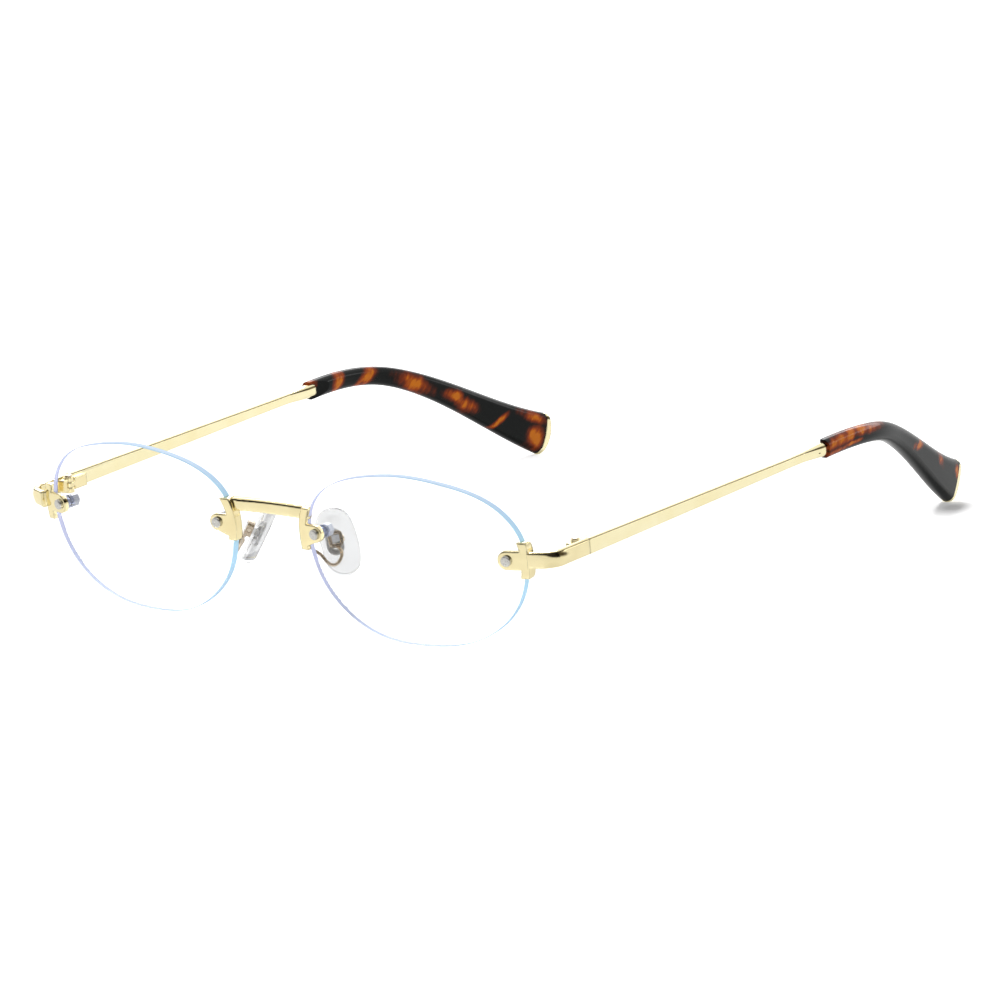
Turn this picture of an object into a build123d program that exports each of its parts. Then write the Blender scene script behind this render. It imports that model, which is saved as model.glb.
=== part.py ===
"""Rimless eyeglasses, modelled as they are worn and then stood on a table.

Wearing frame: x runs to the wearer's left, y runs back along the temples, z is up, and the
origin is midway between the lens centres.  Every left-hand piece is built here and the
right-hand one is its mirror image.  At the end the whole frame is tipped until the lens
bottoms and the temple tips share one plane, z = 0.
"""

import os
from math import cos, degrees, radians, sin, sqrt, tan

from build123d import *

# Lenses
lens_width = 51.6
lens_height = 34.4
lens_gap = 19.65  # between the nasal edges
lens_thickness = 1.4
lens_curve = 130.0  # radius of the mid surface
lens_tilt = 3.2  # degrees, tops forward
lens_wrap = 4.3  # degrees, outer edges back
lens_bevel = 0.15

# Lens fixings, measured from the lens centre towards the temple and up
nasal_screw_at = (-22.65, 3.8)
temporal_screw_at = (22.2, 2.0)
screw_radius = 0.6
screw_head_radius = 1.08
screw_head_height = 0.65
bush_radius = 0.92
bush_flange_radius = 1.35
bush_flange_thickness = 0.6
nut_across_flats = 2.3
nut_height = 1.6
nut_crown = 0.35
bore_clearance = 0.04
seat_gap = 0.02

# Plates that clip over the lens edges
plate_thickness = 0.95
plate_wall = 1.3
plate_edge_gap = 0.08
plate_lap = 0.35  # how far the front flange laps the lens
nose_lug_radius = 1.7
end_lug_radius = 1.9
plate_corner = 0.5
nose_plate_low = 0.3
nose_plate_high = 8.8
nose_plate_depth_top = 3.2
nose_plate_depth_low = 2.8
nose_gusset = 1.6  # below the lug, where it meets the wall
end_plate_low = -1.6
end_plate_high = 5.6
end_plate_depth = 3.1
end_plate_corner = 0.9

# Bridge bar
bridge_height = 7.4
bridge_tall = 2.6
bridge_deep = 2.0
bridge_round = 0.55
bridge_front = -0.52
bridge_rise = 0.35
bridge_bow = 0.5
bridge_overlap = 0.25  # into the nose plates, where it is cut flush

# Nose pads, their boxes and arms
pad_bottom = (12.4, 5.5, -6.4)
pad_top = (7.0, 9.3, 5.4)
pad_face = (-0.65, 0.582, -0.487)  # the way the contact face looks
pad_length = 14.0
pad_width = 7.7
pad_thickness = 2.4
pad_outset = 0.7  # of its outline, away from the nose plate
pad_round_front = 1.1
pad_round_back = 0.6
insert_length = 5.4
insert_width = 3.4
insert_thickness = 0.5
insert_eye = 0.55
neck_length = 1.4
neck_width = 1.5
box_length = 3.1
box_width = 2.9
box_depth = 1.4
box_corner = 0.9
box_gap = 0.5  # pad back to box rim
box_play_length = 0.3
box_play_width = 0.08
pad_screw_radius = 0.4
pad_screw_head_radius = 0.6
pad_screw_head_height = 0.25
pad_arm_radius = 0.33
arm_root_up = 1.1  # above the foot of the nose plate
arm_root_back = 2.1

# Side arms, hinges and temples
side_height = 2.5
side_inner_offset = 31.9  # arm centre line outboard of the lens centre
arm_height = 3.3
side_thickness = 1.2
side_round = 0.4
arm_start = (27.15, 2.57)  # outboard of the lens centre, and back
arm_slope = 25.0  # degrees back from straight out
arm_bend = 3.5
seam_at = 14.94  # back end of the arm
seam_gap = 0.12
hinge_at = 13.5  # the axis lies inside the arm, in front of the seam
barrel_radius = 1.0
hinge_height = 3.3
front_leaf_length = 2.2
temple_leaf_length = 4.6
leaf_height = 2.5
leaf_width = 1.75
knuckle_gap = 0.04
arm_gap = 0.12  # between the temple leaf and the arm it turns beside
hinge_screw_radius = 0.5
hinge_screw_head_radius = 0.78
hinge_screw_head_height = 0.3
temple_waist_at = 78.0
temple_waist_height = 2.05
collar_start_at = 83.0
collar_height = 2.8
collar_width = 2.5
collar_straight = 1.5
collar_depth = 1.0  # inside the tip's mouth
edge_round = 0.18
dimple_radius = 0.5
dimple_back = 2.6  # in front of the tip mouth
dimple_depth = 0.25

# Temple tips
mouth_at = 89.7
tip_mouth_height = 3.8
tip_mouth_width = 3.6
tip_end_height = 9.4
tip_end_width = 3.2
tip_round = 1.55
flare_start = 0.2  # share of the tip's length that stays straight
flare_power = 2.0
tip_sections = 20
tip_end_drop = 23.45  # below the temple line
tip_end_back = 148.5
tip_end_in = 13.6
tip_end_sag = 0.8
cap_sag = 1.7
cap_thickness = 0.55  # at its corners
core_radius = 0.75
core_length = 46.0

pitch_steps = 6  # enough for the standing pitch to settle

os.makedirs("parts", exist_ok=True)
pieces = []


def keep(piece, name):
    """Label one finished piece and keep it for the stand-up at the end."""
    piece.label = name
    pieces.append(piece)


def keep_pair(piece, name):
    """Keep a left-hand piece and its mirror image as the right-hand one."""
    keep(piece, f"left_{name}")
    keep(mirror(piece, about=Plane.YZ), f"right_{name}")


# Lens outline: fractions of the half width and half height, anticlockwise from the temple
lens_shape = (
    (1.0, 0.15), (0.965, 0.386), (0.802, 0.683), (0.36, 0.935), (-0.012, 1.0),
    (-0.388, 0.953), (-0.838, 0.696), (-0.988, 0.386), (-1.0, 0.15), (-0.915, -0.351),
    (-0.769, -0.632), (-0.388, -0.947), (-0.012, -1.0), (0.366, -0.947), (0.768, -0.652),
    (0.923, -0.363),
)

tilt = radians(lens_tilt)
wrap = radians(lens_wrap)
lens_centre = lens_gap / 2 + lens_width / 2 * cos(wrap)
lens_plane = Plane(
    origin=(lens_centre, 0, 0),
    x_dir=(cos(wrap), sin(wrap) * cos(tilt), sin(wrap) * sin(tilt)),
    z_dir=(sin(wrap), -cos(wrap) * cos(tilt), -cos(wrap) * sin(tilt)),
)
lens_side_plane = Plane(
    origin=lens_plane.origin, x_dir=lens_plane.y_dir, z_dir=lens_plane.x_dir
)
lens_front_radius = lens_curve + lens_thickness / 2
lens_reach = 8.0  # deeper than the lens is curved
outline_points = 24  # enough for the grown outlines to keep their distance


lens_outline = Spline(
    *[(lens_width / 2 * x, lens_height / 2 * y) for x, y in lens_shape], periodic=True
)


def lens_face(growth=0.0):
    """The lens outline as a face on the XY plane, grown outwards all round."""
    with BuildSketch() as face:
        with BuildLine():
            points = []
            for number in range(outline_points):
                run = lens_outline % (number / outline_points)
                outward = Vector(run.Y, -run.X)
                points.append(lens_outline @ (number / outline_points) + outward * growth)
            Spline(*points, periodic=True)
        make_face()
    return face.sketch


def fixing_plane(across, up):
    """A plane on the lens's front surface, facing straight out of it."""
    outward = Vector(across, up, sqrt(lens_curve**2 - across**2 - up**2)) / lens_curve
    point = outward * lens_front_radius - Vector(0, 0, lens_curve)
    origin = lens_plane.from_local_coords(point)
    facing = lens_plane.from_local_coords(outward) - lens_plane.origin
    return Plane(origin=origin, x_dir=lens_plane.x_dir, z_dir=facing)


nasal_fixing = fixing_plane(*nasal_screw_at)
temporal_fixing = fixing_plane(*temporal_screw_at)

# Lenses: one curved plate each, drilled for its two screws
with BuildPart() as lens:
    with BuildSketch(lens_plane.offset(-lens_reach)):
        add(lens_face())
    extrude(amount=2 * lens_reach)
    with Locations(lens_plane.offset(-lens_curve).location):
        Sphere(lens_front_radius, rotation=(90, 0, 0), mode=Mode.INTERSECT)
        Sphere(lens_front_radius - lens_thickness, rotation=(90, 0, 0), mode=Mode.SUBTRACT)
    chamfer(lens.edges(), length=lens_bevel)
    for fixing in (nasal_fixing, temporal_fixing):
        with Locations(fixing.location):
            Hole(bush_radius + bore_clearance / 2, depth=2 * lens_reach)
keep_pair(lens.part, "lens")

# Lens screws, the clear bushes they run through and the nuts behind
lug_back = seat_gap
lug_front = lug_back + plate_thickness
bush_back = -lens_thickness - seat_gap
flange_back = bush_back - bush_flange_thickness
nut_front = flange_back - seat_gap
nut_back = nut_front - nut_height
for place, fixing in (("nasal", nasal_fixing), ("temporal", temporal_fixing)):
    with BuildPart() as screw:
        with BuildSketch(fixing.offset(nut_back + nut_crown + 2 * seat_gap)):
            Circle(screw_radius)
        extrude(amount=lug_front - nut_back - nut_crown)
        with BuildSketch(fixing.offset(lug_front + seat_gap)):
            Circle(screw_head_radius)
        extrude(amount=screw_head_height)
        head_rim = screw.faces().sort_by(Axis(fixing.origin, fixing.z_dir))[-1].edges()
        fillet(head_rim, radius=screw_head_height / 2)
    keep_pair(screw.part, f"{place}_screw")

    with BuildPart() as bush:
        with BuildSketch(fixing.offset(bush_back)):
            Circle(bush_radius)
        extrude(amount=lens_thickness)
        with BuildSketch(fixing.offset(flange_back)):
            Circle(bush_flange_radius)
        extrude(amount=bush_flange_thickness)
        with Locations(fixing.location):
            Hole(screw_radius + bore_clearance, depth=2 * lens_reach)
    keep_pair(bush.part, f"{place}_bush")

    with BuildPart() as nut:
        with BuildSketch(fixing.offset(nut_back)):
            RegularPolygon(nut_across_flats / 2, side_count=6, major_radius=False)
        extrude(amount=nut_height)
        crown = nut.faces().sort_by(Axis(fixing.origin, fixing.z_dir))[0].edges()
        chamfer(crown, length=nut_crown)
        with BuildSketch(fixing.offset(nut_front)):
            Circle(screw_radius + bore_clearance / 2)
        extrude(amount=-(nut_height - nut_crown), mode=Mode.SUBTRACT)
    keep_pair(nut.part, f"{place}_nut")


def clip_plate(fixing, low, high, depth_low, depth_high, corner, lug_radius, gusset, side):
    """A front flange and edge wall that follow the lens edge, with a lug to the screw."""
    at = nasal_screw_at if side < 0 else temporal_screw_at
    with BuildPart() as plate:
        with BuildSketch(lens_plane.offset(-lens_reach)):
            add(lens_face(plate_edge_gap + plate_wall))
            add(lens_face(-plate_lap), mode=Mode.SUBTRACT)
        extrude(amount=2 * lens_reach)
        split(bisect_by=fixing.offset(lug_back), keep=Keep.TOP)
        with BuildSketch(lens_plane.offset(-lens_reach)):
            add(lens_face(plate_edge_gap + plate_wall))
            add(lens_face(plate_edge_gap), mode=Mode.SUBTRACT)
        extrude(amount=2 * lens_reach)
        split(bisect_by=fixing.offset(lug_front), keep=Keep.BOTTOM)
        with BuildSketch(lens_side_plane) as profile:
            with BuildLine():
                Polyline(
                    (low, lens_reach),
                    (low, -depth_low),
                    (high, -depth_high),
                    (high, lens_reach),
                    close=True,
                )
            make_face()
            fillet(profile.vertices().sort_by(Axis.Y)[:2], radius=corner)
        extrude(amount=side * lens_width, mode=Mode.INTERSECT)
        with BuildSketch(fixing.offset(lug_back)):
            Circle(lug_radius)
            reach = lens_width / 2 - abs(at[0]) + plate_edge_gap + plate_wall / 2
            with Locations((side * reach / 2, 0)):
                Rectangle(reach, 2 * lug_radius)
            if gusset:
                with BuildLine():
                    Polyline(
                        (0, -lug_radius),
                        (side * reach, -lug_radius - gusset),
                        (side * reach, -lug_radius),
                        close=True,
                    )
                make_face()
        extrude(amount=plate_thickness)
        with Locations(fixing.location):
            Hole(screw_radius + bore_clearance, depth=lens_reach)
    return plate


nose_plate = clip_plate(
    nasal_fixing, nose_plate_low, nose_plate_high, nose_plate_depth_low,
    nose_plate_depth_top, plate_corner, nose_lug_radius, nose_gusset, -1,
)
keep_pair(nose_plate.part, "nose_plate")

end_plate = clip_plate(
    temporal_fixing, end_plate_low, end_plate_high, end_plate_depth, end_plate_depth,
    end_plate_corner, end_lug_radius, 0, 1,
)

# End piece: the temporal plate with its arm, curved back to the hinge
side_x = lens_centre + side_inner_offset
arm_first = Vector(lens_centre + arm_start[0], arm_start[1], side_height)
arm_corner = arm_first + Vector(1, tan(radians(arm_slope)), 0) * (side_x - arm_first.X)
with BuildPart() as end_piece:
    with BuildLine() as arm_line:
        Polyline(arm_first, arm_corner, (side_x, seam_at, side_height))
        fillet(arm_line.vertices().sort_by_distance(arm_corner)[0], radius=arm_bend)
    with BuildSketch(Plane(origin=arm_line.line @ 0, x_dir=(0, 0, 1), z_dir=arm_line.line % 0)):
        RectangleRounded(arm_height, side_thickness, side_round)
    sweep()
    add(end_plate.part)
keep_pair(end_piece.part, "end_piece")

# Bridge bar, arched between the two nose plates and cut flush with them
bridge_reach = lens_gap / 2 + bridge_overlap
with BuildPart() as bridge_bar:
    with BuildLine() as bridge_line:
        ThreePointArc(
            (-bridge_reach, bridge_front + bridge_deep / 2, bridge_height),
            (0, bridge_front + bridge_deep / 2 - bridge_bow, bridge_height + bridge_rise),
            (bridge_reach, bridge_front + bridge_deep / 2, bridge_height),
        )
    with BuildSketch(Plane(origin=bridge_line.line @ 0, x_dir=(0, 1, 0), z_dir=bridge_line.line % 0)):
        RectangleRounded(bridge_deep, bridge_tall, bridge_round)
    sweep()
    add(nose_plate.part, mode=Mode.SUBTRACT)
    add(mirror(nose_plate.part, about=Plane.YZ, mode=Mode.PRIVATE), mode=Mode.SUBTRACT)
keep(bridge_bar.part, "bridge_bar")

# Nose pad: its plane holds the pad's long axis as x, and looks at the nose
pad_centre = (Vector(*pad_bottom) + Vector(*pad_top)) / 2
pad_plane = Plane(
    origin=pad_centre, x_dir=Vector(*pad_top) - Vector(*pad_bottom), z_dir=pad_face
)
pad_shape = (
    (0.98, 0.0), (0.77, 0.7), (0.25, 0.98), (-0.43, 1.0), (-0.88, 0.7), (-1.0, 0.05),
    (-0.8, -0.6), (0.0, -0.9), (0.72, -0.88),
)
pad_back = -pad_thickness / 2
box_front = pad_back - box_gap
pivot_depth = box_front - box_depth / 2
pivot_plane = Plane(
    origin=pad_plane.from_local_coords((0, 0, pivot_depth)),
    x_dir=pad_plane.x_dir,
    z_dir=pad_plane.y_dir,
)

with BuildPart() as pad_insert:
    with BuildSketch(pad_plane.offset(-insert_thickness / 2)):
        SlotOverall(insert_length, insert_width)
        with GridLocations(insert_length - insert_width, 0, 2, 1):
            Circle(insert_eye, mode=Mode.SUBTRACT)
    extrude(amount=insert_thickness)
    with BuildSketch(pad_plane):
        Rectangle(neck_length, neck_width)
    extrude(amount=box_front - box_depth)
    with Locations(pivot_plane.location):
        Hole(pad_screw_radius + bore_clearance, depth=box_width)
keep_pair(pad_insert.part, "pad_insert")

with BuildPart() as nose_pad:
    with BuildSketch(pad_plane.offset(pad_back)):
        with BuildLine():
            points = [(pad_length / 2 * x, pad_width / 2 * y + pad_outset) for x, y in pad_shape]
            Spline(*points, periodic=True)
        make_face()
    extrude(amount=pad_thickness)
    rims = nose_pad.edges().sort_by(lambda rim: pad_plane.to_local_coords(rim.center()).Z)
    fillet(rims[-1], radius=pad_round_front)
    fillet(rims[0], radius=pad_round_back)
    with BuildSketch(pad_plane.offset(-insert_thickness / 2 - seat_gap)):
        SlotOverall(insert_length + 2 * seat_gap, insert_width + 2 * seat_gap)
        with GridLocations(insert_length - insert_width, 0, 2, 1):
            Circle(insert_eye - seat_gap, mode=Mode.SUBTRACT)
    extrude(amount=insert_thickness + 2 * seat_gap, mode=Mode.SUBTRACT)
    with BuildSketch(pad_plane):
        Rectangle(neck_length + 2 * seat_gap, neck_width + 2 * seat_gap)
    extrude(amount=2 * pad_back, mode=Mode.SUBTRACT)
keep_pair(nose_pad.part, "nose_pad")

with BuildPart() as pad_box:
    with BuildSketch(pad_plane.offset(box_front - box_depth)):
        RectangleRounded(box_length, box_width, box_corner)
        Rectangle(
            neck_length + 2 * box_play_length,
            neck_width + 2 * box_play_width,
            mode=Mode.SUBTRACT,
        )
    extrude(amount=box_depth)
    with Locations(pivot_plane.location):
        Hole(pad_screw_radius + bore_clearance, depth=box_width)
keep_pair(pad_box.part, "pad_box")

with BuildPart() as pad_screw:
    with BuildSketch(pivot_plane.offset(-box_width / 2)):
        Circle(pad_screw_radius)
    extrude(amount=box_width + seat_gap)
    with BuildSketch(pivot_plane.offset(box_width / 2 + seat_gap)):
        Circle(pad_screw_head_radius)
    extrude(amount=pad_screw_head_height)
keep_pair(pad_screw.part, "pad_screw")

# Pad arm: a wire from the foot of the nose plate, looped down and up into the pad box
arm_root = lens_plane.from_local_coords(
    (-lens_width / 2 - plate_edge_gap - plate_wall / 2, nose_plate_low + arm_root_up, -arm_root_back)
)
wire_end = -box_length / 2 + seat_gap  # butted on the box and cut flush with it
with BuildPart() as pad_arm:
    with BuildLine() as wire:
        Spline(
            arm_root,
            pad_plane.from_local_coords((-1.55, -4.6, -3.0)),
            pad_plane.from_local_coords((-2.75, -3.4, -3.0)),
            pad_plane.from_local_coords((-4.2, -2.65, -3.0)),
            pad_plane.from_local_coords((-5.15, -1.45, -3.0)),
            pad_plane.from_local_coords((-4.3, 0.05, -3.0)),
            pad_plane.from_local_coords((wire_end, 0.0, pivot_depth)),
        )
    with BuildSketch(Plane(origin=wire.line @ 0, z_dir=wire.line % 0)):
        Circle(pad_arm_radius)
    sweep()
    add(nose_plate.part, mode=Mode.SUBTRACT)
    add(pad_box.part, mode=Mode.SUBTRACT)
keep_pair(pad_arm.part, "pad_arm")

# Hinge: two front knuckles and one temple knuckle around an upright screw
side_inner = side_x - side_thickness / 2
axis_x = side_inner - barrel_radius - arm_gap
hinge_low = side_height - hinge_height / 2
knuckle = hinge_height / 3
block_start = barrel_radius + 3 * knuckle_gap


def hinge_leaf(length):
    """Barrel and soldered leaf, running back from the hinge axis, or forward if negative."""
    with BuildPart() as leaf:
        with BuildSketch(Plane.XY.offset(hinge_low)):
            with Locations((axis_x, hinge_at)):
                Circle(barrel_radius)
        extrude(amount=hinge_height)
        with BuildSketch(Plane.XY.offset(side_height - leaf_height / 2)):
            with Locations((side_inner - seat_gap - leaf_width / 2, hinge_at + length / 2)):
                Rectangle(leaf_width, abs(length))
        extrude(amount=leaf_height)
    return leaf


def axis_disc(radius):
    """Room around the hinge axis for the other leaf's knuckle."""
    with Locations((axis_x, hinge_at)):
        Circle(radius)
    with Locations((axis_x - leaf_width / 2, hinge_at)):
        Rectangle(2 * leaf_width, 2 * radius)


with BuildPart() as front_leaf:
    add(hinge_leaf(-front_leaf_length).part)
    with BuildSketch(Plane.XY.offset(hinge_low + knuckle - knuckle_gap)):
        axis_disc(block_start)
        with Locations((side_inner, hinge_at)):
            Rectangle(2 * leaf_width, 2 * block_start)
    extrude(amount=knuckle + 2 * knuckle_gap, mode=Mode.SUBTRACT)
    with Locations((axis_x, hinge_at, 0)):
        Hole(hinge_screw_radius + bore_clearance, depth=4 * hinge_height)
keep_pair(front_leaf.part, "hinge_front_leaf")

with BuildPart() as temple_leaf:
    add(hinge_leaf(temple_leaf_length).part)
    for end_low in (hinge_low, hinge_low + 2 * knuckle):
        with BuildSketch(Plane.XY.offset(end_low)):
            axis_disc(block_start)
            with Locations((side_inner, hinge_at)):
                Rectangle(2 * leaf_width, 2 * block_start)
        extrude(amount=knuckle, mode=Mode.SUBTRACT)
    with BuildSketch(Plane.XY.offset(hinge_low)):
        with Locations((side_inner, hinge_at)):
            Rectangle(2 * arm_gap, 2 * (seam_at - hinge_at))
    extrude(amount=hinge_height, mode=Mode.SUBTRACT)
    with Locations((axis_x, hinge_at, 0)):
        Hole(hinge_screw_radius + bore_clearance, depth=4 * hinge_height)
keep_pair(temple_leaf.part, "hinge_temple_leaf")

with BuildPart() as hinge_screw:
    with BuildSketch(Plane.XY.offset(hinge_low)):
        with Locations((axis_x, hinge_at)):
            Circle(hinge_screw_radius)
    extrude(amount=hinge_height + seat_gap)
    with BuildSketch(Plane.XY.offset(hinge_low + hinge_height + seat_gap)):
        with Locations((axis_x, hinge_at)):
            Circle(hinge_screw_head_radius)
    extrude(amount=hinge_screw_head_height)
    fillet(hinge_screw.edges().group_by(Axis.Z)[-1], radius=hinge_screw_head_height / 2)
keep_pair(hinge_screw.part, "hinge_screw")

# Temple tip: lofted along its spine, which dips behind the ear and turns in
tip_end = Vector(side_x - tip_end_in, tip_end_back, side_height - tip_end_drop)
tip_stations = (  # back from the mouth, in, down; the last is the end
    (0.0, 0.0, 0.0),
    (8.3, 0.1, 0.05),
    (15.3, 0.65, 0.7),
    (21.3, 1.9, 2.0),
    (27.3, 3.8, 4.4),
    (41.1, 8.2, 12.6),
    (tip_end_back - mouth_at, tip_end_in, tip_end_drop),
)
spine_points = [
    Vector(side_x - inward, mouth_at + back, side_height - down)
    for back, inward, down in tip_stations
]
with BuildLine() as spine:
    Spline(*spine_points)
rail = spine.edges()[0]
end_run = (rail % 1).normalized()
end_plane = Plane(
    origin=tip_end, x_dir=end_run, z_dir=Vector(1, 0, 0) - end_run * end_run.X
)
core_line = rail.trim(0, core_length / rail.length)
blank_reach = 200.0


def end_profile(apex, sag):
    """Everything in front of a rounded end, seen from the side; apex is along the spine."""
    radius = (tip_end_height**2 / 4 + sag**2) / (2 * sag)
    with BuildSketch() as profile:
        with Locations((apex - radius, 0)):
            Circle(radius)
        with Locations((apex - radius - blank_reach / 2, 0)):
            Rectangle(blank_reach, blank_reach)
    return profile.sketch


with BuildPart() as tip_blank:
    for number in range(tip_sections):
        along = number / (tip_sections - 1)
        flare = max(along - flare_start, 0) / (1 - flare_start)
        height = tip_mouth_height + flare**flare_power * (tip_end_height - tip_mouth_height)
        width = tip_mouth_width + along * (tip_end_width - tip_mouth_width)
        with BuildSketch(Plane(origin=rail @ along, x_dir=(1, 0, 0), z_dir=rail % along)):
            RectangleRounded(width, height, tip_round)
    loft()

tip_apex = tip_end_sag - cap_sag - cap_thickness
with BuildPart() as temple_tip:
    add(tip_blank.part)
    with BuildSketch(end_plane.offset(-tip_mouth_width)):
        add(end_profile(tip_apex, tip_end_sag))
    extrude(amount=2 * tip_mouth_width, mode=Mode.INTERSECT)
    with BuildSketch(Plane.XZ.offset(-mouth_at)):
        with Locations((side_x, side_height)):
            RectangleRounded(
                collar_width + 2 * bore_clearance,
                collar_height + 2 * bore_clearance,
                collar_width / 2 - edge_round,
            )
    extrude(amount=-(collar_depth + bore_clearance), mode=Mode.SUBTRACT)
    with BuildLine():
        add(core_line)
    with BuildSketch(Plane(origin=core_line @ 0, z_dir=core_line % 0)):
        Circle(core_radius + bore_clearance)
    sweep(mode=Mode.SUBTRACT)
keep_pair(temple_tip.part, "temple_tip")

with BuildPart() as end_cap:
    add(tip_blank.part)
    with BuildSketch(end_plane.offset(-tip_mouth_width)):
        add(end_profile(0, cap_sag))
    extrude(amount=2 * tip_mouth_width, mode=Mode.INTERSECT)
    with BuildSketch(end_plane.offset(-tip_mouth_width)):
        add(end_profile(tip_apex + seat_gap, tip_end_sag))
    extrude(amount=2 * tip_mouth_width, mode=Mode.SUBTRACT)
keep_pair(end_cap.part, "tip_end_cap")

# Temple bar: flat, tapering to a waist, then a rounded collar and the core wire in the tip
temple_start = seam_at + seam_gap
collar_back = mouth_at + collar_depth
bar_sections = (  # back, width, height, corner
    (temple_start, side_thickness, arm_height, side_round),
    (temple_waist_at, side_thickness, temple_waist_height, side_round),
    (collar_start_at, side_thickness, temple_waist_height, side_round),
    (mouth_at - collar_straight, collar_width, collar_height, collar_width / 2 - edge_round),
    (collar_back, collar_width, collar_height, collar_width / 2 - edge_round),
)
with BuildPart() as temple_bar:
    for back, width, height, corner in bar_sections:
        with BuildSketch(Plane.XZ.offset(-back)):
            with Locations((side_x, side_height)):
                RectangleRounded(width, height, corner)
    loft(ruled=True)
    with BuildLine():
        add(core_line.trim(0, 1 - seat_gap))
    with BuildSketch(Plane(origin=core_line @ 0, z_dir=core_line % 0)):
        Circle(core_radius)
    sweep()
    with Locations((side_x + collar_width / 2 + dimple_radius - dimple_depth, mouth_at - dimple_back, side_height)):
        Sphere(dimple_radius, mode=Mode.SUBTRACT)
keep_pair(temple_bar.part, "temple_bar")


# Standing: tip the frame until the lens bottoms and the tip ends share the table
def lowest(piece, pitch):
    """Height of a piece's lowest point with the frame tipped back by pitch degrees."""
    return piece.moved(Rot(X=pitch)).bounding_box().min.Z


standing_pitch = 0.0
for _ in range(pitch_steps):
    lift = lowest(end_cap.part, standing_pitch) - lowest(lens.part, standing_pitch)
    standing_pitch -= degrees(lift / tip_end_back)

boxes = [piece.moved(Rot(X=standing_pitch)).bounding_box() for piece in pieces]
table = min(box.min.Z for box in boxes)
middle = (min(box.min.Y for box in boxes) + max(box.max.Y for box in boxes)) / 2
standing = Pos(0, -middle, -table) * Rot(X=standing_pitch)
for piece in pieces:
    stood = piece.moved(standing)
    stood.label = piece.label
    export_step(stood, f"parts/{piece.label}.step")
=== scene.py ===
from math import cos, radians, sin

import bmesh
import bpy
import numpy
from mathutils import Matrix, Vector


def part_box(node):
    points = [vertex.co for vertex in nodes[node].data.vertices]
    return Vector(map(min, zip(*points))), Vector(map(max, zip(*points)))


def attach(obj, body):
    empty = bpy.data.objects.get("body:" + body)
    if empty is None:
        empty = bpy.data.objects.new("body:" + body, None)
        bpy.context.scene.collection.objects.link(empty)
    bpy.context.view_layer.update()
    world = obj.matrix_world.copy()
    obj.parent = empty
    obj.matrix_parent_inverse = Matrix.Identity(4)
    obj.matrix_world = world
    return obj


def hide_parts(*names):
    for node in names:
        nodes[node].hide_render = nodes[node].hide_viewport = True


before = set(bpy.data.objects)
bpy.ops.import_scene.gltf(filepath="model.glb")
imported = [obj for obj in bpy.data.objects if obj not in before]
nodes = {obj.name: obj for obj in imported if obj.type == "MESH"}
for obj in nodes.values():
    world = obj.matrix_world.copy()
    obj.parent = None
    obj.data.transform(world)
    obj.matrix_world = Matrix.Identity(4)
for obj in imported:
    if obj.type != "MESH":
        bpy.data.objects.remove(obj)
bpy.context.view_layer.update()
bpy.ops.object.select_all(action="DESELECT")


# Lenses: clear resin, ground to shape, drilled for two screws each and coated against
# reflections. The faces are polished; the ground edge scatters light, sky blue on one side
# of each lens and lavender on the other, with painted shade where it lies level and a
# faint painted glow.
def copy_node(node_name, piece_name, body):
    """A piece that starts from a CAD node's own mesh, its doubles merged."""
    merge_distance = 0.000001
    mesh = nodes[node_name].data.copy()
    mesh.name = piece_name
    mesh.materials.clear()
    piece = bpy.data.objects.new(piece_name, mesh)
    bpy.context.collection.objects.link(piece)
    shape = bmesh.new()
    shape.from_mesh(mesh)
    bmesh.ops.remove_doubles(shape, verts=shape.verts, dist=merge_distance)
    shape.to_mesh(mesh)
    shape.free()
    if "custom_normal" in mesh.attributes:
        mesh.attributes.remove(mesh.attributes["custom_normal"])
    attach(piece, body)
    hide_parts(node_name)
    return piece


def smooth(piece, degrees):
    """Smooth shading that breaks at the piece's real edges."""
    bpy.ops.object.select_all(action="DESELECT")
    piece.select_set(True)
    bpy.context.view_layer.objects.active = piece
    bpy.ops.object.shade_smooth_by_angle(angle=radians(degrees))
    piece.select_set(False)


def new_material(name):
    """A material; returned with its tree, its shader and the piece's coordinates."""
    material = bpy.data.materials.new(name)
    material.use_nodes = True
    tree = material.node_tree
    where = tree.nodes.new("ShaderNodeTexCoord")
    return material, tree, tree.nodes["Principled BSDF"], where


def feed(tree, socket, source):
    """Link another node's output to a socket, or give the socket a value of its own."""
    if isinstance(source, bpy.types.NodeSocket):
        tree.links.new(source, socket)
    else:
        socket.default_value = source


def add_node(tree, kind, sources, **settings):
    """Add a shader node, set its options and feed its inputs."""
    node = tree.nodes.new(f"ShaderNode{kind}")
    for setting, value in settings.items():
        setattr(node, setting, value)
    for socket, source in sources.items():
        feed(tree, node.inputs[socket], source)
    return node


def work_out(tree, operation, *operands):
    """The result of a sum on sockets and numbers."""
    return add_node(tree, "Math", dict(enumerate(operands)), operation=operation).outputs[0]


def ramp(tree, source, stops):
    """A colour ramp fed by source; stops are (position, (r, g, b))."""
    node = add_node(tree, "ValToRGB", {"Fac": source})
    ends = node.color_ramp.elements
    for end, (place, colour) in ((ends[0], stops[0]), (ends[1], stops[-1])):
        end.position = place
        end.color = (*colour, 1)
    for place, colour in stops[1:-1]:
        ends.new(place).color = (*colour, 1)
    return node.outputs["Color"]


def spread(tree, source, low, high, to_low, to_high):
    """Map source from low..high to to_low..to_high."""
    reach = {
        "Value": source, "From Min": low, "From Max": high,
        "To Min": to_low, "To Max": to_high,
    }
    return add_node(tree, "MapRange", reach).outputs["Result"]


def tinted(tree, share, colour, over):
    """A colour laid over another by a mask."""
    sources = {"Factor": share, "A": colour, "B": (*over, 1)}
    return add_node(tree, "Mix", sources, data_type="RGBA").outputs["Result"]


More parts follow.
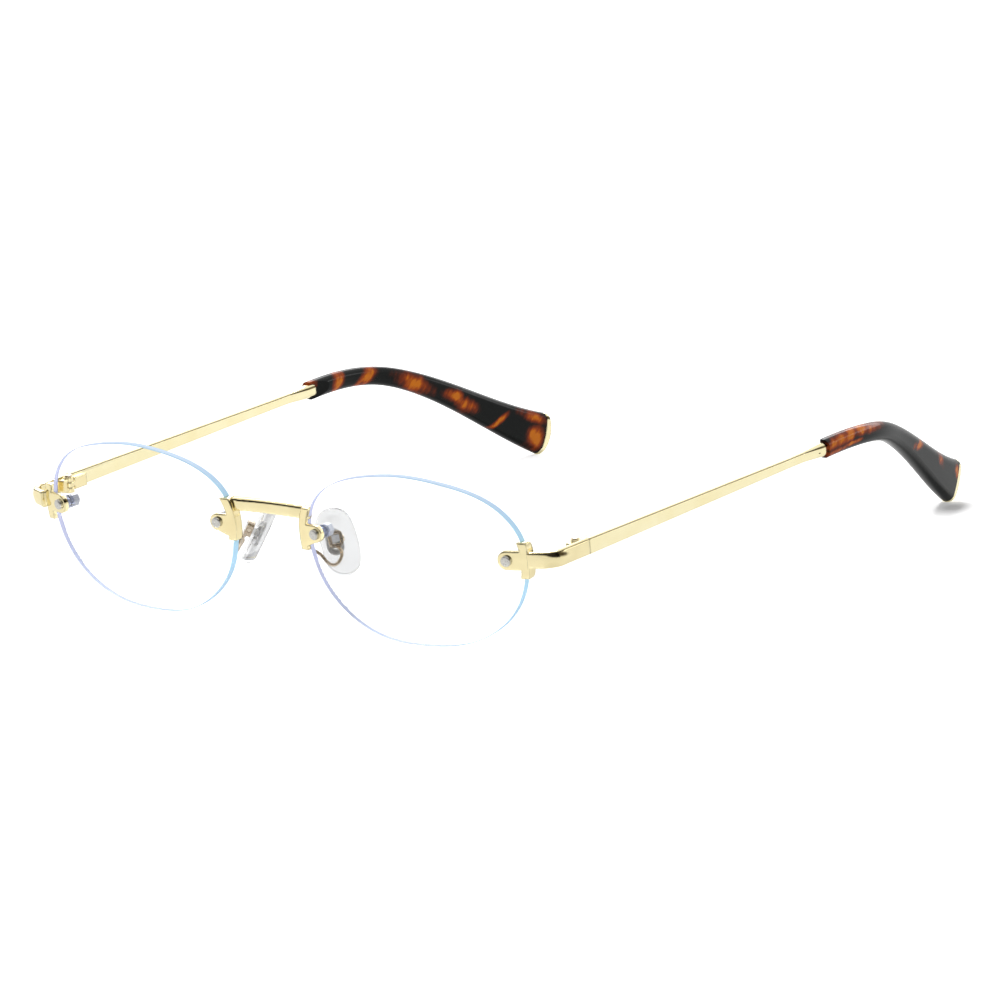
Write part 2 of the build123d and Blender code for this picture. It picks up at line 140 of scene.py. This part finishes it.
def new_group(name, inputs, outputs):
    """A shader node group; returned with what it is given and what it puts out."""
    group = bpy.data.node_groups.new(name, "ShaderNodeTree")
    for in_out, sockets in (("INPUT", inputs), ("OUTPUT", outputs)):
        for socket, kind in sockets.items():
            group.interface.new_socket(
                socket, in_out=in_out, socket_type=f"NodeSocket{kind}"
            )
    given = group.nodes.new("NodeGroupInput").outputs
    put_out = group.nodes.new("NodeGroupOutput").inputs
    return group, given, put_out


def place_group(tree, group, sources):
    """Place a node group in a material with its own values."""
    node = tree.nodes.new("ShaderNodeGroup")
    node.node_tree = group
    for socket, source in sources.items():
        feed(tree, node.inputs[socket], source)
    return node


grain_group, given, put_out = new_group(
    "surface_grain",
    {"Vector": "Vector", "Lean": "Vector", "Stretch": "Vector", "Scale": "Float",
     "Detail": "Float"},
    {"Grain": "Float"},
)
drawn_out = add_node(
    grain_group, "Mapping",
    {"Vector": given["Vector"], "Rotation": given["Lean"], "Scale": given["Stretch"]},
    vector_type="TEXTURE",
)
cloud = add_node(
    grain_group, "TexNoise",
    {"Vector": drawn_out.outputs["Vector"], "Scale": given["Scale"],
     "Detail": given["Detail"]},
)
feed(grain_group, put_out["Grain"], cloud.outputs["Fac"])
grain_low, grain_high = 0.3, 0.7  # nearly all of a grain lies between these


def grain(tree, where, scale, detail, stretch=(1, 1, 1), lean=0):
    """Grain on the piece's own coordinates, drawn out along its axes, which may lean."""
    return place_group(tree, grain_group, {
        "Vector": where.outputs["Object"], "Lean": (radians(lean), 0, 0),
        "Stretch": stretch, "Scale": scale, "Detail": detail,
    }).outputs["Grain"]


def mottled(tree, source, dark, light):
    """Two tones that follow a grain."""
    return ramp(tree, source, ((grain_low, dark), (grain_high, light)))


def varied(tree, source, low, high):
    """A value that follows a grain."""
    return spread(tree, source, grain_low, grain_high, low, high)


smeared, clean = (0.985, 0.99, 0.995), (1, 1, 1)
smeared_roughness = 0.015
resin, tree, shader, where = new_material("clear_resin")
shader.inputs["Transmission Weight"].default_value = 1
shader.inputs["IOR"].default_value = 1.06  # the coating leaves little reflection
smears = grain(tree, where, 90, 3)
feed(tree, shader.inputs["Base Color"], ramp(tree, smears, ((0.35, smeared), (0.7, clean))))
feed(tree, shader.inputs["Roughness"], spread(tree, smears, 0.4, 0.8, 0, smeared_roughness))

lens_wrap = radians(4.3)
rim_sky = (0.5, 0.78, 1.0)
rim_lavender = (0.68, 0.71, 0.95)
rim_level_painted_shade = (0.46, 0.54, 0.68)  # painted shade where the rim lies level, at top and bottom
rim_lean = 0.35  # how far the change of colour leans with height
ground_low, ground_high = 0.45, 0.65  # roughness
edge_on_limit = 0.8  # rim faces turn further than this from the lens's axis
rim_start = 0.8  # and lie outside this share of the oval
for side, sign in (("left", 1), ("right", -1)):
    lens = copy_node(f"{side}_lens", f"{side}_lens_resin", "front")
    low, high = (Vector(corner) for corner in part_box(f"{side}_lens"))
    middle = (low + high) / 2
    half_width, half_height = (high.x - low.x) / 2, (high.z - low.z) / 2

    rim, tree, shader, where = new_material(f"{side}_ground_rim")
    place = add_node(tree, "SeparateXYZ", {"Vector": where.outputs["Object"]})
    across = work_out(
        tree, "MULTIPLY_ADD", place.outputs["Z"], rim_lean, place.outputs["X"]
    )
    run = middle.x + rim_lean * middle.z
    from_right = spread(tree, across, run - half_width, run + half_width, 0, 1)
    tint = ramp(tree, from_right, ((0.3, rim_lavender), (0.62, rim_sky)))
    surface = add_node(tree, "NewGeometry", {})
    facing = add_node(tree, "SeparateXYZ", {"Vector": surface.outputs["Normal"]})
    level = work_out(tree, "ABSOLUTE", facing.outputs["Z"])
    # painted shade: the rim is greyer where it lies level, at the top and bottom of the
    # lens
    tint = tinted(tree, spread(tree, level, 0.35, 1, 0, 0.8), tint, rim_level_painted_shade)
    feed(tree, shader.inputs["Base Color"], tint)
    grinding = grain(tree, where, 4000, 2)
    feed(
        tree, shader.inputs["Roughness"], varied(tree, grinding, ground_low, ground_high)
    )
    shader.inputs["IOR"].default_value = 1.2
    feed(tree, shader.inputs["Emission Color"], tint)
    shader.inputs["Emission Strength"].default_value = 0.2  # painted glow, the edge's own tint given off as light
    lens.data.materials.append(resin)
    lens.data.materials.append(rim)
    axis = Vector((sign * sin(lens_wrap), -cos(lens_wrap), 0))
    for face in lens.data.polygons:
        reach = face.center - middle
        edge_on = abs(face.normal.dot(axis)) < edge_on_limit
        out = (reach.x / half_width) ** 2 + (reach.z / half_height) ** 2
        face.material_index = int(edge_on and out > rim_start)
    smooth(lens, 25)
    lens.visible_shadow = False  # clear resin darkens nothing behind it


# Lens screws: turned steel with plain, nearly flat heads, silver grey. Each goes through a
# lug, the lens and a bush, and is held by the nut behind.
def steel(name, cut, dark, light, polished, dull):
    """Steel with marks all over; cut is the scale, detail and stretch of the marks."""
    material, tree, shader, where = new_material(name)
    shader.inputs["Metallic"].default_value = 1
    marks = grain(tree, where, *cut)
    feed(tree, shader.inputs["Base Color"], mottled(tree, marks, dark, light))
    feed(tree, shader.inputs["Roughness"], varied(tree, marks, polished, dull))
    return material, tree, shader, marks


def dress(material, *names):
    """Give a CAD node, or its left and right ones, a material of the scene's own."""
    for name in names:
        for node_name in (name, f"left_{name}", f"right_{name}"):
            if node_name in nodes:
                nodes[node_name].data.materials.clear()
                nodes[node_name].data.materials.append(material)


screw_steel, tree, shader, turning = steel(
    "screw_steel", (5000, 4), (0.52, 0.51, 0.48), (0.66, 0.65, 0.61), 0.22, 0.38
)
tool_marks = add_node(
    tree, "Bump", {"Strength": 0.15, "Distance": 0.00002, "Height": turning}
)
feed(tree, shader.inputs["Normal"], tool_marks.outputs["Normal"])
dress(screw_steel, "nasal_screw", "temporal_screw")

# Lens bushes: moulded nylon sleeves, clear and faintly blue-violet, pressed into the lens
# round each screw, with a flange behind the lens.
bush_dark, bush_light = (0.62, 0.67, 0.88), (0.78, 0.82, 0.95)
nylon, tree, shader, where = new_material("bush_nylon")
shader.inputs["Transmission Weight"].default_value = 0.75
shader.inputs["IOR"].default_value = 1.25
flow = grain(tree, where, 1500, 2)
feed(tree, shader.inputs["Base Color"], mottled(tree, flow, bush_dark, bush_light))
feed(tree, shader.inputs["Roughness"], varied(tree, flow, 0.12, 0.22))
dress(nylon, "nasal_bush", "temporal_bush")

# Lens nuts: small hexagonal crown nuts of bright steel, milled on their sides and run down
# on the screws until they bear on the bushes.
milling = (3000, 3, (1, 1, 0.2))
nut_steel = steel(
    "nut_steel", milling, (0.40, 0.42, 0.48), (0.6, 0.62, 0.68), 0.15, 0.3
)[0]
dress(nut_steel, "nasal_nut", "temporal_nut")

# Nose plates and bridge: nickel silver with a polished pale gold plate. Each nose plate is
# stamped and bent round the lens edge, and the flat bridge bar is brazed between the two;
# the polishing wheel has rounded the edges, and a dark reflection is painted along them.
# painted reflection: the dark tone laid along the plate's edges and upper corners
painted_reflection_tone = (0.07, 0.05, 0.018)
rounded_edge_and_painted_reflection, given, put_out = new_group(
    "rounded_edge_and_painted_reflection",
    {"Rounding": "Float", "Waves": "Float", "Painted Corner": "Float", "Painted Rim": "Float"},
    {"Mask": "Float", "Normal": "Vector"},
)
edge_finder = add_node(rounded_edge_and_painted_reflection, "Bevel", {"Radius": 0.00018}, samples=8)
surface = add_node(rounded_edge_and_painted_reflection, "NewGeometry", {})
turned = add_node(
    rounded_edge_and_painted_reflection, "VectorMath", {0: edge_finder.outputs["Normal"], 1: surface.outputs["Normal"]},
    operation="DOT_PRODUCT",
)
facing = add_node(rounded_edge_and_painted_reflection, "SeparateXYZ", {"Vector": surface.outputs["Normal"]})
# painted reflection: a dark line on upper corners, where the surface turns from side to top
tilted_up = spread(rounded_edge_and_painted_reflection, facing.outputs["Z"], 0.2, 0.3, 0, given["Painted Corner"])
not_level = spread(rounded_edge_and_painted_reflection, facing.outputs["Z"], 0.55, 0.68, 1, 0)
painted_corner_line = work_out(rounded_edge_and_painted_reflection, "MULTIPLY", tilted_up, not_level)
# painted reflection: a dark line along every edge, where the rounded normal leaves the true
# one
painted_rim_line = spread(rounded_edge_and_painted_reflection, turned.outputs["Value"], 0.97, 0.75, 0, given["Painted Rim"])
feed(rounded_edge_and_painted_reflection, put_out["Mask"], work_out(rounded_edge_and_painted_reflection, "MAXIMUM", painted_corner_line, painted_rim_line))
rounded = add_node(rounded_edge_and_painted_reflection, "Bevel", {"Radius": given["Rounding"]}, samples=8)
waves = add_node(rounded_edge_and_painted_reflection, "Bump", {
    "Strength": 0.06, "Distance": 0.00003, "Height": given["Waves"],
    "Normal": rounded.outputs["Normal"],
})
feed(rounded_edge_and_painted_reflection, put_out["Normal"], waves.outputs["Normal"])


def gold_plate(name, low, high, polished, dull, rounding, corner, rim):
    """Polished plate between two tones, edges rounded, a dark reflection painted along
    them.
    """
    plate, tree, shader, where = new_material(name)
    shader.inputs["Metallic"].default_value = 1
    sheen = grain(tree, where, 160, 2)
    edge = place_group(
        tree, rounded_edge_and_painted_reflection,
        {"Rounding": rounding, "Waves": sheen, "Painted Corner": corner, "Painted Rim": rim},
    )
    tone = tinted(tree, edge.outputs["Mask"], mottled(tree, sheen, low, high), painted_reflection_tone)
    feed(tree, shader.inputs["Base Color"], tone)
    strokes = grain(tree, where, 2500, 4, (1, 8, 1))
    feed(tree, shader.inputs["Roughness"], varied(tree, strokes, polished, dull))
    feed(tree, shader.inputs["Normal"], edge.outputs["Normal"])
    return plate


stamped_gold = gold_plate(
    "pale_gold_plate", (0.89, 0.76, 0.43), (0.96, 0.85, 0.51),
    polished=0.07, dull=0.13, rounding=0.0006, corner=0, rim=0.6,
)
bar_gold = gold_plate(
    "arm_gold_plate", (0.86, 0.75, 0.43), (0.94, 0.83, 0.50),
    polished=0.06, dull=0.12, rounding=0.0008, corner=1, rim=0.6,
)
dress(stamped_gold, "nose_plate")
dress(bar_gold, "bridge_bar")

# End pieces: the same gold plate. A stamped clip round the lens's outer edge, in one with a
# flat bar that bends back to the hinge; the bend is pillowed, with a low dome over the
# middle of its outer face.
pillow_back, pillow_up = -0.0680, 0.0197
pillow_lean = radians(5.4)
pillow_length, pillow_width, pillow_height = 0.0045, 0.0018, 0.00042
pillow_cuts = 6
longest_edge = 0.00035
outward_start = 0.3  # only faces turned this far outwards are raised
outward_fade = 0.3
for side, sign in (("left", 1), ("right", -1)):
    arm = copy_node(f"{side}_end_piece", f"{side}_pillowed_end_piece", "front")
    arm.data.materials.append(bar_gold)
    bend = bmesh.new()
    bend.from_mesh(arm.data)
    for cut in range(pillow_cuts):
        long_edges = []
        for edge in bend.edges:
            backs = [corner.co.y - pillow_back for corner in edge.verts]
            rises = [corner.co.z - pillow_up for corner in edge.verts]
            crosses_pillow = (
                min(backs) < pillow_length and max(backs) > -pillow_length
                and min(rises) < pillow_width and max(rises) > -pillow_width
            )
            if crosses_pillow and edge.calc_length() > longest_edge:
                long_edges.append(edge)
        bmesh.ops.subdivide_edges(bend, edges=long_edges, cuts=1)
        bmesh.ops.triangulate(
            bend, faces=[face for face in bend.faces if len(face.verts) > 3]
        )
    bend.normal_update()
    outward = Vector((sign, -1, 0)).normalized()
    for corner in bend.verts:
        back, rise = corner.co.y - pillow_back, corner.co.z - pillow_up
        along = (back * cos(pillow_lean) - rise * sin(pillow_lean)) / pillow_length
        aside = (back * sin(pillow_lean) + rise * cos(pillow_lean)) / pillow_width
        fullness = max(1 - along**2 - aside**2, 0) ** 2
        turned_out = (corner.normal.dot(outward) - outward_start) / outward_fade
        lift = pillow_height * fullness * min(max(turned_out, 0), 1)
        corner.co += corner.normal * lift
    bend.to_mesh(arm.data)
    bend.free()
    smooth(arm, 30)
    flats = arm.modifiers.new("flats", "WEIGHTED_NORMAL")
    flats.keep_sharp = True
    bpy.context.view_layer.objects.active = arm
    bpy.ops.object.modifier_apply(modifier=flats.name)

# Hinge leaves: two knuckles on the end piece and one on the temple bar, cut from nickel
# silver, brazed on, then plated and polished with them.
dress(stamped_gold, "hinge_front_leaf", "hinge_temple_leaf")

# Hinge and pad screws: slotless steel pins, a shade darker than the lens screws. Each is
# driven across the knuckles of a hinge or the walls of a pad box.
pin_steel = steel(
    "pin_steel", (4000, 3), (0.58, 0.49, 0.38), (0.72, 0.63, 0.5), 0.2, 0.35
)[0]
dress(pin_steel, "hinge_screw", "pad_screw")

# Pad arms and boxes: thin gold-plated wire, brazed to the nose plate and looped down and up
# into a small folded box; both are tumbled and not polished, so they stay dull.
wire_gold = gold_plate(
    "dull_gold_plate", (0.44, 0.36, 0.27), (0.58, 0.49, 0.38),
    polished=0.2, dull=0.3, rounding=0.0002, corner=0, rim=0.2,
)
dress(wire_gold, "pad_arm", "pad_box")

# Pad inserts: stamped steel anchors with a neck that fits the pad box, dull where the
# silicone that is cast around them grips.
insert_steel = steel(
    "insert_steel", (2500, 4), (0.78, 0.77, 0.76), (0.92, 0.91, 0.90), 0.3, 0.5
)[0]
dress(insert_steel, "pad_insert")

# Nose pads: soft clear silicone, cast round the insert in a two-part mould, slightly milky,
# with fully rounded rims, greyed by painted shade where they turn away from the faces.
milk_dark, milk_light = (0.80, 0.805, 0.81), (0.85, 0.855, 0.86)
rim_painted_shade_grey = (0.45, 0.45, 0.46)
cast_grain = 0.00015
softening_passes = 12
for side in ("left", "right"):
    pad = copy_node(f"{side}_nose_pad", f"{side}_silicone_pad", f"{side}_pad")
    points = numpy.array([corner.co for corner in pad.data.vertices])
    spans = numpy.linalg.svd(points - points.mean(axis=0), full_matrices=False)[2]
    through = [float(part) for part in spans[2]]  # the pad's thinnest direction

    silicone, tree, shader, where = new_material(f"{side}_clear_silicone")
    shader.inputs["Transmission Weight"].default_value = 0.8
    shader.inputs["IOR"].default_value = 1.3
    milkiness = grain(tree, where, 200, 2)
    turned = add_node(
        tree, "VectorMath", {0: where.outputs["Normal"], 1: through},
        operation="DOT_PRODUCT",
    )
    faces_out = work_out(tree, "ABSOLUTE", turned.outputs["Value"])
    # painted shade: the rim greys as the surface turns away from the pad's faces
    painted_rim_shade_share = spread(tree, faces_out, 0.45, 0.1, 0, 0.8)
    milk = mottled(tree, milkiness, milk_dark, milk_light)
    feed(tree, shader.inputs["Base Color"], tinted(tree, painted_rim_shade_share, milk, rim_painted_shade_grey))
    feed(tree, shader.inputs["Roughness"], varied(tree, milkiness, 0.08, 0.14))

    bpy.context.view_layer.objects.active = pad
    cast = pad.modifiers.new("cast", "REMESH")
    cast.mode = "VOXEL"
    cast.voxel_size = cast_grain
    bpy.ops.object.modifier_apply(modifier=cast.name)
    soften = pad.modifiers.new("soften", "SMOOTH")
    soften.factor = 0.5
    soften.iterations = softening_passes
    bpy.ops.object.modifier_apply(modifier=soften.name)
    pad.data.materials.clear()
    pad.data.materials.append(silicone)
    smooth(pad, 60)

# Temple bars: flat gold-plated bars, drawn and pressed to taper back, each ending in a
# rounded collar with a core wire beyond it. Their plate is a paler gold than the front's.
paler_gold = gold_plate(
    "paler_gold_plate", (0.94, 0.84, 0.50), (0.98, 0.90, 0.59),
    polished=0.08, dull=0.15, rounding=0.0006, corner=1, rim=0.6,
)
dress(paler_gold, "temple_bar")

# Temple tips: cellulose acetate cut from a tortoiseshell sheet, near black with amber and
# red patches through its thickness. Each is pushed hot over the core wire, bent down behind
# the ear and polished to a wet gloss.
patch_group, given, put_out = new_group(
    "oval_patch",
    {"Vector": "Vector", "Centre": "Vector", "Lean": "Float", "Length": "Float",
     "Width": "Float"},
    {"Mask": "Float"},
)
shifted = add_node(
    patch_group, "VectorMath", {0: given["Vector"], 1: given["Centre"]},
    operation="SUBTRACT",
)
turned = add_node(
    patch_group, "VectorRotate",
    {"Vector": shifted.outputs["Vector"], "Angle": given["Lean"]},
    rotation_type="X_AXIS",
)
parts = add_node(patch_group, "SeparateXYZ", {"Vector": turned.outputs["Vector"]})
along = work_out(patch_group, "DIVIDE", parts.outputs["Y"], given["Length"])
aside = work_out(patch_group, "DIVIDE", parts.outputs["Z"], given["Width"])
along_square = work_out(patch_group, "MULTIPLY", along, along)
total = work_out(patch_group, "MULTIPLY_ADD", aside, aside, along_square)
feed(patch_group, put_out["Mask"], work_out(patch_group, "SUBTRACT", 1, total))

# where each patch lies, in mm: back, up, half length, half width, and its lean in degrees
right_patches = (
    (16.1, 25.9, 1.0, 0.9, 46), (23.1, 24.5, 2.3, 1.1, 52), (31.3, 24.0, 3.2, 1.1, 28),
    (42.7, 20.9, 3.6, 1.4, -31), (52.1, 16.6, 2.2, 1.0, -20), (55.1, 14.0, 2.3, 1.2, -34),
    (62.6, 9.1, 2.6, 0.5, 25), (71.5, 8.4, 3.0, 0.9, -25), (71.0, 3.8, 2.2, 1.7, 49),
)
left_patches = (
    (19.5, 25.1, 6.6, 0.9, 8), (27.4, 25.7, 6.8, 0.8, -3), (17.5, 23.2, 3.4, 0.5, 5),
    (23.5, 23.9, 2.6, 0.35, 3), (54.1, 16.4, 2.0, 0.7, -5), (65.7, 10.7, 1.7, 0.8, -53),
    (74.2, 6.2, 1.3, 0.7, -71),
)
millimetre = 0.001
longer, wider = 1.25, 1.3  # how far a patch's faded edge reaches past its sizes
ragged = 1.7  # how far the sheet's grain breaks up the patch edges
fade = 1.1
tortoiseshell = (
    (0.0, (0.004, 0.005, 0.0045)), (0.2, (0.008, 0.005, 0.004)),
    (0.42, (0.045, 0.010, 0.005)), (0.68, (0.18, 0.026, 0.004)),
    (0.84, (0.38, 0.065, 0.004)), (1.0, (0.62, 0.17, 0.007)),
)
for side, patches in (("left", left_patches), ("right", right_patches)):
    acetate, tree, shader, where = new_material(f"{side}_tortoiseshell")
    mask = None
    for back, height, length, width, lean in patches:
        patch = place_group(tree, patch_group, {
            "Vector": where.outputs["Object"],
            "Centre": (0, back * millimetre, height * millimetre),
            "Lean": -radians(lean),
            "Length": longer * length * millimetre,
            "Width": wider * width * millimetre,
        }).outputs["Mask"]
        mask = patch if mask is None else work_out(tree, "MAXIMUM", mask, patch)
    figure = grain(tree, where, 380, 8, (1, 2.0, 0.7), 48)
    broken = work_out(tree, "MULTIPLY_ADD", figure, 2 * ragged, mask)
    amber = spread(tree, broken, ragged - fade, ragged + fade, 0, 1)
    feed(tree, shader.inputs["Base Color"], ramp(tree, amber, tortoiseshell))
    handling = grain(tree, where, 700, 4)
    feed(tree, shader.inputs["Roughness"], varied(tree, handling, 0.1, 0.17))
    shader.inputs["IOR"].default_value = 1.24
    orange_peel = add_node(
        tree, "Bump", {"Strength": 0.08, "Distance": 0.00005, "Height": handling}
    )
    feed(tree, shader.inputs["Normal"], orange_peel.outputs["Normal"])
    dress(acetate, f"{side}_temple_tip")

# Tip end caps: thin gold-plated plates that close the tips' flared ends, stamped to the
# tip's outline and pressed on over the end of the core wire.
dress(paler_gold, "tip_end_cap")

# Studio table: a round of white paper that glows just enough to vanish into the background,
# but not round the foot of the left tip, where it keeps the soft shadow that falls.
table_radius = 1.2
bpy.ops.mesh.primitive_circle_add(
    vertices=128, radius=table_radius, fill_type="NGON", location=(0, 0, 0)
)
floor = bpy.context.active_object
floor.name = "paper_floor"
paper, tree, shader, where = new_material("white_paper")
shader.inputs["Roughness"].default_value = 0.9
fibre = grain(tree, where, 60, 3)
paper_dark, paper_light = (0.79, 0.79, 0.79), (0.81, 0.81, 0.81)
feed(tree, shader.inputs["Base Color"], mottled(tree, fibre, paper_dark, paper_light))
glow_strength = 0.6
glow_through_glass, glow_in_metal = 0.6, 0.25  # against 1 for the camera
rays = add_node(tree, "LightPath", {}).outputs
seen = work_out(
    tree, "MULTIPLY_ADD", rays["Is Transmission Ray"], glow_through_glass,
    rays["Is Camera Ray"],
)
seen = work_out(tree, "MULTIPLY_ADD", rays["Is Glossy Ray"], glow_in_metal, seen)
tip_low, tip_high = (Vector(corner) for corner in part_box("left_tip_end_cap"))
tip_foot = (tip_low + tip_high) / 2 + Vector((0.0047, -0.0053, 0))
tip_foot.z = 0
shadow_inner, shadow_outer = 0.0015, 0.0085
spot = add_node(
    tree, "VectorMath", {0: where.outputs["Object"], 1: tip_foot}, operation="DISTANCE"
)
glow = work_out(
    tree, "MULTIPLY",
    spread(tree, spot.outputs["Value"], shadow_inner, shadow_outer, 0, glow_strength),
    seen,
)
lift = add_node(tree, "Emission", {"Color": (1, 1, 1, 1), "Strength": glow})
both = add_node(
    tree, "AddShader", {0: shader.outputs["BSDF"], 1: lift.outputs["Emission"]}
)
feed(tree, tree.nodes["Material Output"].inputs["Surface"], both.outputs["Shader"])
floor.data.materials.append(paper)

# Studio room: even white light all round. The half of the room in front of the table is
# dark at middle height and the half behind has a bright strip; both are seen only in
# reflections, as thin streaks.
room_skew = -0.45  # the room's front is turned towards the wearer's left
dark_tone = (0.03, 0.026, 0.024)
strip_strength = 2.5
soft_light = 0.65
world = bpy.data.worlds.new("studio")
bpy.context.scene.world = world
world.use_nodes = True
tree = world.node_tree
room = tree.nodes["Background"]
directions = add_node(tree, "TexCoord", {})
parts = add_node(tree, "SeparateXYZ", {"Vector": directions.outputs["Generated"]}).outputs
depth = work_out(tree, "MULTIPLY_ADD", parts["X"], room_skew, parts["Y"])
rays = add_node(tree, "LightPath", {}).outputs


def band(heights, depths):
    """A part of the room in reflections, faded between four heights and two depths."""
    rising = spread(tree, parts["Z"], heights[0], heights[1], 0, 1)
    falling = spread(tree, parts["Z"], heights[2], heights[3], 1, 0)
    between = work_out(tree, "MULTIPLY", rising, falling)
    inward = spread(tree, depth, depths[0], depths[1], 0, 1)
    part = work_out(tree, "MULTIPLY", between, inward)
    return work_out(tree, "MULTIPLY", part, rays["Is Glossy Ray"])


dark_half = band((0.07, 0.13, 0.66, 0.78), (-0.02, -0.22))
room_tone = ramp(tree, dark_half, ((0, (1, 1, 1)), (1, dark_tone)))
feed(tree, room.inputs["Color"], room_tone)
strip = band((0.27, 0.32, 0.44, 0.5), (0.2, 0.35))
even = spread(tree, rays["Is Diffuse Ray"], 0, 1, 1, soft_light)
strength = work_out(tree, "MULTIPLY_ADD", strip, strip_strength, even)
feed(tree, room.inputs["Strength"], strength)

# Softbox: one large soft lamp overhead and behind, for the long highlights and for the
# shadow under the left tip.
lamp = bpy.data.lights.new("softbox", "AREA")
lamp.shape = "RECTANGLE"
lamp.size = 0.26
lamp.size_y = 0.18
lamp.energy = 5.5
softbox = bpy.data.objects.new("softbox", lamp)
bpy.context.collection.objects.link(softbox)
softbox.location = (-0.42, 0.49, 0.77)
lamp_aim = Vector((0, 0, 0)) - softbox.location
softbox.rotation_euler = lamp_aim.to_track_quat("-Z", "Y").to_euler()

# Camera: a long lens, a little above the table and to the wearer's front left, turned
# slightly about its own axis.
camera_at = Vector((1.03632, -1.22665, 0.36833))
camera_aim = Vector((0.0079, -0.01392, 0.01414))
camera_roll = radians(-3.53)
camera_data = bpy.data.cameras.new("studio_camera")
camera_data.lens = 292.9
camera_data.sensor_width = 36
camera_data.clip_start = 0.1
camera_data.clip_end = 20
camera = bpy.data.objects.new("studio_camera", camera_data)
bpy.context.collection.objects.link(camera)
backward = (camera_at - camera_aim).normalized()
level_right = Vector((0, 0, 1)).cross(backward).normalized()
level_up = backward.cross(level_right)
right = level_right * cos(camera_roll) + level_up * sin(camera_roll)
up = level_up * cos(camera_roll) - level_right * sin(camera_roll)
turn = Matrix((right, up, backward)).transposed().to_4x4()
camera.matrix_world = Matrix.Translation(camera_at) @ turn
bpy.context.scene.camera = camera

bpy.context.scene.view_settings.view_transform = "Standard"
